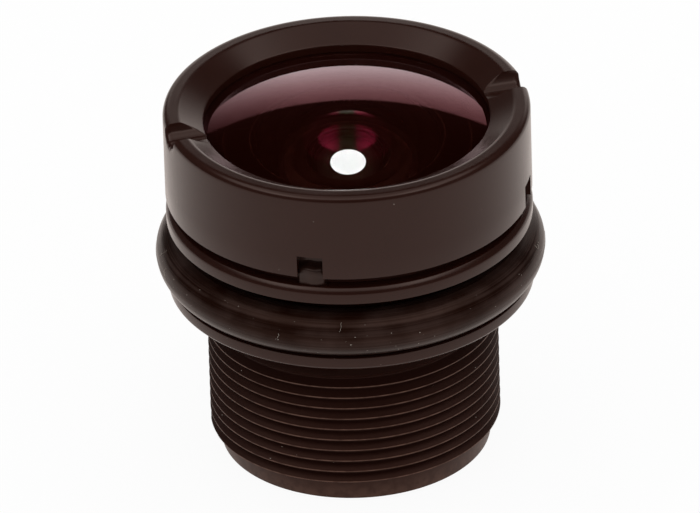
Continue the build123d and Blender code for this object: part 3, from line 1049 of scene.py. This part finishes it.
def make_adhesive(scene):
    """A squared-off lump of thread lock in each skirt notch, on the band and up the neck behind."""
    cap = scene.lens_cap
    draw = np.random.default_rng(7)
    neck = reach("front_cap") - cap.skirt_wall - cap.thread_fit
    least = low("lock_adhesive")
    rise_most = high("lock_adhesive") - least
    # The lump's section over the band: heights in mm and how far it stands out, as a share of its depth
    heights = [0.0, 0.0, 0.08, 0.35, 0.58, 0.72, 0.77, 0.80, 0.84, 0.90, 0.98]
    standing = [0.0, 0.92, 1.0, 0.97, 1.0, 0.98, 0.90, 0.74, 0.42, 0.14, 0.0]
    depth = 0.44 * MM
    sunk = 0.02 * MM             # into the neck, so that no gap shows behind
    half_width = cap.notch_width / 2 + 0.03 * MM
    rows = 30
    steps = 18
    size = steps + 1
    vertices, faces = [], []
    for index in range(cap.notch_count):
        centre = cap.notch_angle + tau * index / cap.notch_count
        waves = draw.uniform(0.0, tau, 4)
        first = len(vertices)
        for row in range(rows + 1):
            place = row / rows * (len(heights) - 1)
            up = min(float(np.interp(place, range(len(heights)), heights)) * MM, rise_most)
            out = float(np.interp(place, range(len(heights)), standing))
            v = 2 * row / rows - 1
            for column in range(size):
                u = sin(pi / 2 * (2 * column / steps - 1))
                lump = 1 + 0.05 * sin(4 * u + waves[0]) + 0.04 * sin(5 * v + waves[1])
                lump += 0.04 * sin(7 * u * v + waves[2])
                radius = neck - sunk + depth * lump * out * (1 - u ** 8) ** 0.25
                turn = centre + half_width * u * (1 + 0.04 * sin(3 * v + waves[3])) / radius
                rise = up * (1 - 0.06 * u ** 2 + 0.02 * sin(6 * u + waves[3]))
                vertices.append((radius * cos(turn), radius * sin(turn), least + min(rise, rise_most)))
        for row in range(rows):
            for column in range(steps):
                a = first + row * size + column
                faces.append([a, a + 1, a + size + 1, a + size])
        last = first + rows * size
        back = [first + column for column in range(size)]
        back += [first + row * size + steps for row in range(1, rows + 1)]
        back += [last + column for column in range(steps - 1, -1, -1)]
        back += [first + row * size for row in range(rows - 1, 0, -1)]
        faces.append(back)
    as_piece("lens_lock_adhesive", vertices, faces, cured_adhesive(scene.lens_colours),
             "lock_adhesive", crease=60.0)


def flake(draw, place, vertices, faces):
    """An uneven double pyramid, the six corners each at its own distance."""
    size = draw.uniform(0.009, 0.024) * MM
    first = len(vertices)
    for axis in range(3):
        for side in (-1, 1):
            corner = Vector((0, 0, 0))
            corner[axis] = side * size * draw.uniform(0.6, 1.4)
            vertices.append(place + corner)
    faces += [[first + x, first + y, first + z] for x in (0, 1) for y in (2, 3) for z in (4, 5)]


def fibre(joints, outward_from, vertices, faces):
    """A three-sided thread of lint along the joints."""
    thick = 0.008 * MM
    first = len(vertices)
    for point in joints:
        out = (point - outward_from).normalized()
        across = out.cross(Vector((0, 0, 1))).normalized()
        for corner in range(3):
            angle = tau * corner / 3
            skew = Vector((0, 0, 0.3 * corner))
            vertices.append(point + thick * (cos(angle) * out + sin(angle) * across + skew))
    for a in range(first, len(vertices) - 3, 3):
        for corner in range(3):
            after = (corner + 1) % 3
            faces.append([a + corner, a + after, a + 3 + after, a + 3 + corner])
    end = len(vertices) - 1
    faces += [[first, first + 1, first + 2], [end, end - 1, end - 2]]


def make_dust(scene):
    """Flakes and lint that settled on the side of the rubber ring, the thread, the flange and the cap."""
    draw = np.random.default_rng(21)
    barrel = scene.lens_barrel
    section, centre, middle = ring_section()
    limit = reach("mount_o_ring") - 0.002 * MM
    cap_wall = reach("front_cap")

    def on_ring(turn, tilt):
        radius = centre + section * cos(tilt)
        return Vector((radius * cos(turn), radius * sin(turn), middle + section * sin(tilt)))

    places = [on_ring(draw.uniform(0, tau), radians(draw.uniform(-35, 55))) for _ in range(90)]
    for count, radius, bottom, top in (
        (46, barrel.thread_radius, barrel.lip_height, barrel.thread_top),
        (12, cap_wall, low("front_cap"), high("front_cap") - 0.4 * MM),
        (8, cap_wall, low("mount_o_ring") - 0.4 * MM, low("mount_o_ring")),
    ):
        for _ in range(count):
            turn = draw.uniform(0, tau)
            places.append(Vector((radius * cos(turn), radius * sin(turn), draw.uniform(bottom, top))))
    vertices, faces = [], []
    for place in places:
        flake(draw, place, vertices, faces)
    stride = 0.07 * MM
    for _ in range(16):
        turn = draw.uniform(0, tau)
        tilt = radians(draw.uniform(-20, 45))
        heading = draw.uniform(0, tau)
        bend = draw.uniform(-0.5, 0.5)
        joints = []
        for _ in range(int(draw.integers(5, 10))):
            joints.append(on_ring(turn, tilt))
            heading += bend + draw.uniform(-0.8, 0.8)
            turn += stride / centre * cos(heading)
            tilt += stride / section * sin(heading)
        fibre(joints, Vector((0, 0, middle)), vertices, faces)
    held = []
    for x, y, z in vertices:
        share = min(1.0, limit / hypot(x, y))
        held.append((x * share, y * share, z))
    as_piece("lens_dust", held, faces, settled_dust(scene.lens_colours), None)


# The stage

def make_table(scene):
    stage = scene.lens_stage
    sink = 0.02 * MM             # keeps the table clear of the rear face
    outline = [(0.0, -sink)] + [(stage.table_radius * share, -sink) for share in (0.02, 0.2, 1.0)]
    vertices, faces = lathe(outline, 96, closed=False)
    mesh = bpy.data.meshes.new("table")
    mesh.from_pydata(vertices, [], faces)
    mesh.materials.append(white_table(stage))
    table = bpy.data.objects.new("table", mesh)
    scene.collection.objects.link(table)


def make_world(scene):
    """A tent as mirrors see it: a white wall behind the object, a dark gap, a lit ceiling, dark by the camera.

    The camera and matt surfaces see plain white all round. Directions are unit vectors, so heights are sines.
    """
    stage = scene.lens_stage
    wall_centre = 0.12           # sideways, as a sine: the wall is brightest a little to the right
    ceiling_lift = 0.33          # the ceiling starts at 65 degrees straight behind the object
    ceiling_drop = 0.14          # and at 41 degrees at its sides
    wall_blur = 0.012
    ceiling_blur = 0.045
    side_gain = 2.0
    world = bpy.data.worlds.new("light_tent")
    world.use_nodes = True
    tree = world.node_tree
    tree.nodes.clear()
    direction = add(tree, "TexCoord").outputs["Generated"]
    x, y, z = add(tree, "SeparateXYZ", {0: direction}).outputs
    wall_edge = sin(stage.wall_top)
    # The wall is a little darker towards its top
    upper = add(tree, "MapRange", {
        "Value": z, "From Min": sin(radians(18)), "From Max": sin(radians(27)), "To Min": 1.0, "To Max": 0.85,
    })
    below = add(tree, "MapRange", {
        "Value": z, "From Min": wall_edge - wall_blur, "From Max": wall_edge, "To Min": 1.0, "To Max": 0.0,
    })
    behind = add(tree, "MapRange", {
        "Value": y, "From Min": -0.35, "From Max": 0.05,
    }, interpolation_type="SMOOTHSTEP")
    # Sideways the wall fades
    flat = add(tree, "VectorMath", {0: direction, 1: (1, 1, 0)}, operation="MULTIPLY")
    compass = add(tree, "VectorMath", {0: flat}, operation="NORMALIZE")
    centred = add(tree, "VectorMath", {0: compass, 1: (wall_centre, 0, 0)}, operation="SUBTRACT")
    aside = add(tree, "Math", {0: add(tree, "SeparateXYZ", {0: centred}).outputs["X"]}, operation="ABSOLUTE")
    middle = add(tree, "MapRange", {
        "Value": aside, "From Min": 0.2, "From Max": 0.54, "To Min": 1.05, "To Max": 0.03,
    })
    wall = stage.wall_level
    for share in (upper, below, behind, middle):
        wall = add(tree, "Math", {0: wall, 1: share}, operation="MULTIPLY")
    far = add(tree, "Math", {0: y, 1: 0.0}, operation="MAXIMUM")
    height = add(tree, "Math", {0: far, 1: -ceiling_lift, 2: z}, operation="MULTIPLY_ADD")
    away = add(tree, "Math", {0: x}, operation="ABSOLUTE")
    height = add(tree, "Math", {0: away, 1: ceiling_drop, 2: height}, operation="MULTIPLY_ADD")
    ceiling_edge = sin(stage.ceiling_start)
    ceiling = add(tree, "MapRange", {
        "Value": height, "From Min": ceiling_edge - ceiling_blur, "From Max": ceiling_edge + ceiling_blur,
        "To Min": stage.room_level, "To Max": stage.ceiling_level,
    }, interpolation_type="SMOOTHSTEP")
    # It is brighter low on the viewer's side, where its lamp stands, and at both sides
    before = add(tree, "MapRange", {"Value": y, "From Min": -0.1, "From Max": -0.4})
    lamp = add(tree, "Math", {0: before, 1: stage.lamp_gain, 2: 1.0}, operation="MULTIPLY_ADD")
    sides = add(tree, "MapRange", {
        "Value": away, "From Min": 0.25, "From Max": 0.5, "To Min": 1.0, "To Max": side_gain,
    }, interpolation_type="SMOOTHSTEP")
    lamp = add(tree, "Math", {0: lamp, 1: sides}, operation="MULTIPLY")
    overhead = add(tree, "Math", {0: ceiling, 1: lamp}, operation="MULTIPLY")
    tent = add(tree, "Math", {0: wall, 1: overhead}, operation="MAXIMUM")
    rays = add(tree, "LightPath").outputs
    by_glass = add(tree, "Math", {0: rays["Is Glossy Ray"], 1: rays["Is Transmission Ray"]}, operation="MAXIMUM")
    plain = add(tree, "Background", {"Color": "#ffffff", "Strength": 1.0})
    lit = add(tree, "Background", {"Color": stage.warm_white, "Strength": tent})
    blend = add(tree, "MixShader", {0: by_glass, 1: plain, 2: lit})
    add(tree, "OutputWorld", {"Surface": blend})
    scene.world = world


def make_camera(scene):
    stage = scene.lens_stage
    data = bpy.data.cameras.new("camera")
    data.sensor_width = 36.0
    data.lens = stage.focal_length
    data.clip_start = 0.01
    data.clip_end = 10.0
    camera = bpy.data.objects.new("camera", data)
    scene.collection.objects.link(camera)
    target = Vector((stage.look_across, 0, stage.look_height))
    back = Vector((0, -cos(stage.elevation), sin(stage.elevation)))
    turn = Matrix.Rotation(pi / 2 - stage.elevation, 4, "X") @ Matrix.Rotation(-stage.roll, 4, "Z")
    camera.matrix_world = Matrix.Translation(target + stage.distance * back) @ turn
    scene.camera = camera


def set_light_paths(scene):
    scene.view_settings.view_transform = "Standard"
    scene.cycles.max_bounces = 40
    scene.cycles.transmission_bounces = 40
    scene.cycles.glossy_bounces = 12
    scene.cycles.transparent_max_bounces = 12


# Operators and sidebar

class LENS_OT_stage(bpy.types.Operator):
    """Set the table, the light tent and the camera"""
    bl_idname = "lens.stage"
    bl_label = "Stage"

    def execute(self, context):
        make_table(context.scene)
        make_world(context.scene)
        make_camera(context.scene)
        set_light_paths(context.scene)
        return {"FINISHED"}


class LENS_OT_barrel(bpy.types.Operator):
    """Turn the barrel and cut its thread"""
    bl_idname = "lens.barrel"
    bl_label = "Barrel"

    def execute(self, context):
        make_barrel(context.scene)
        return {"FINISHED"}


class LENS_OT_cap(bpy.types.Operator):
    """Turn the front cap and mill its grooves and notches"""
    bl_idname = "lens.cap"
    bl_label = "Front cap"

    def execute(self, context):
        make_cap(context.scene)
        return {"FINISHED"}


class LENS_OT_mount_ring(bpy.types.Operator):
    """Mould the mount ring"""
    bl_idname = "lens.mount_ring"
    bl_label = "Mount ring"

    def execute(self, context):
        make_mount_ring(context.scene)
        return {"FINISHED"}


class LENS_OT_front_glass(bpy.types.Operator):
    """Polish the front glass"""
    bl_idname = "lens.front_glass"
    bl_label = "Front glass"

    def execute(self, context):
        make_front_glass(context.scene)
        return {"FINISHED"}


class LENS_OT_inner_glass(bpy.types.Operator):
    """Polish the glasses inside and the filter"""
    bl_idname = "lens.inner_glass"
    bl_label = "Inner glasses"

    def execute(self, context):
        make_inner_glass(context.scene)
        return {"FINISHED"}


class LENS_OT_inner_rings(bpy.types.Operator):
    """Blacken the rings inside"""
    bl_idname = "lens.inner_rings"
    bl_label = "Inner rings"

    def execute(self, context):
        dress_inner_rings(context.scene)
        return {"FINISHED"}


class LENS_OT_adhesive(bpy.types.Operator):
    """Put the drops of thread lock into the notches"""
    bl_idname = "lens.adhesive"
    bl_label = "Adhesive"

    def execute(self, context):
        make_adhesive(context.scene)
        return {"FINISHED"}


class LENS_OT_dust(bpy.types.Operator):
    """Let flakes and lint settle on the outside"""
    bl_idname = "lens.dust"
    bl_label = "Dust"

    def execute(self, context):
        make_dust(context.scene)
        return {"FINISHED"}


operators = (LENS_OT_stage, LENS_OT_barrel, LENS_OT_cap, LENS_OT_mount_ring, LENS_OT_front_glass,
             LENS_OT_inner_glass, LENS_OT_inner_rings, LENS_OT_adhesive, LENS_OT_dust)

groups = {
    "lens_barrel": LensBarrelSizes,
    "lens_cap": LensCapSizes,
    "lens_glass": LensGlassSizes,
    "lens_colours": LensColours,
    "lens_stage": LensStage,
}


class LENS_PT_sidebar(bpy.types.Panel):
    """Lists the lens's operators"""
    bl_label = "Board Camera Lens"
    bl_space_type = "VIEW_3D"
    bl_region_type = "UI"
    bl_category = "Lens"

    def draw(self, context):
        for operator in operators:
            self.layout.operator(operator.bl_idname)


def register():
    for name, group in groups.items():
        bpy.utils.register_class(group)
        setattr(bpy.types.Scene, name, bpy.props.PointerProperty(type=group))
    for operator in operators:
        bpy.utils.register_class(operator)
    bpy.utils.register_class(LENS_PT_sidebar)


def unregister():
    bpy.utils.unregister_class(LENS_PT_sidebar)
    for operator in reversed(operators):
        bpy.utils.unregister_class(operator)
    for name, group in groups.items():
        delattr(bpy.types.Scene, name)
        bpy.utils.unregister_class(group)


def main():
    register()
    bpy.ops.lens.stage()
    bpy.ops.lens.barrel()
    bpy.ops.lens.cap()
    bpy.ops.lens.mount_ring()
    bpy.ops.lens.front_glass()
    bpy.ops.lens.inner_glass()
    bpy.ops.lens.inner_rings()
    bpy.ops.lens.adhesive()
    bpy.ops.lens.dust()


if __name__ == "__main__":
    main()
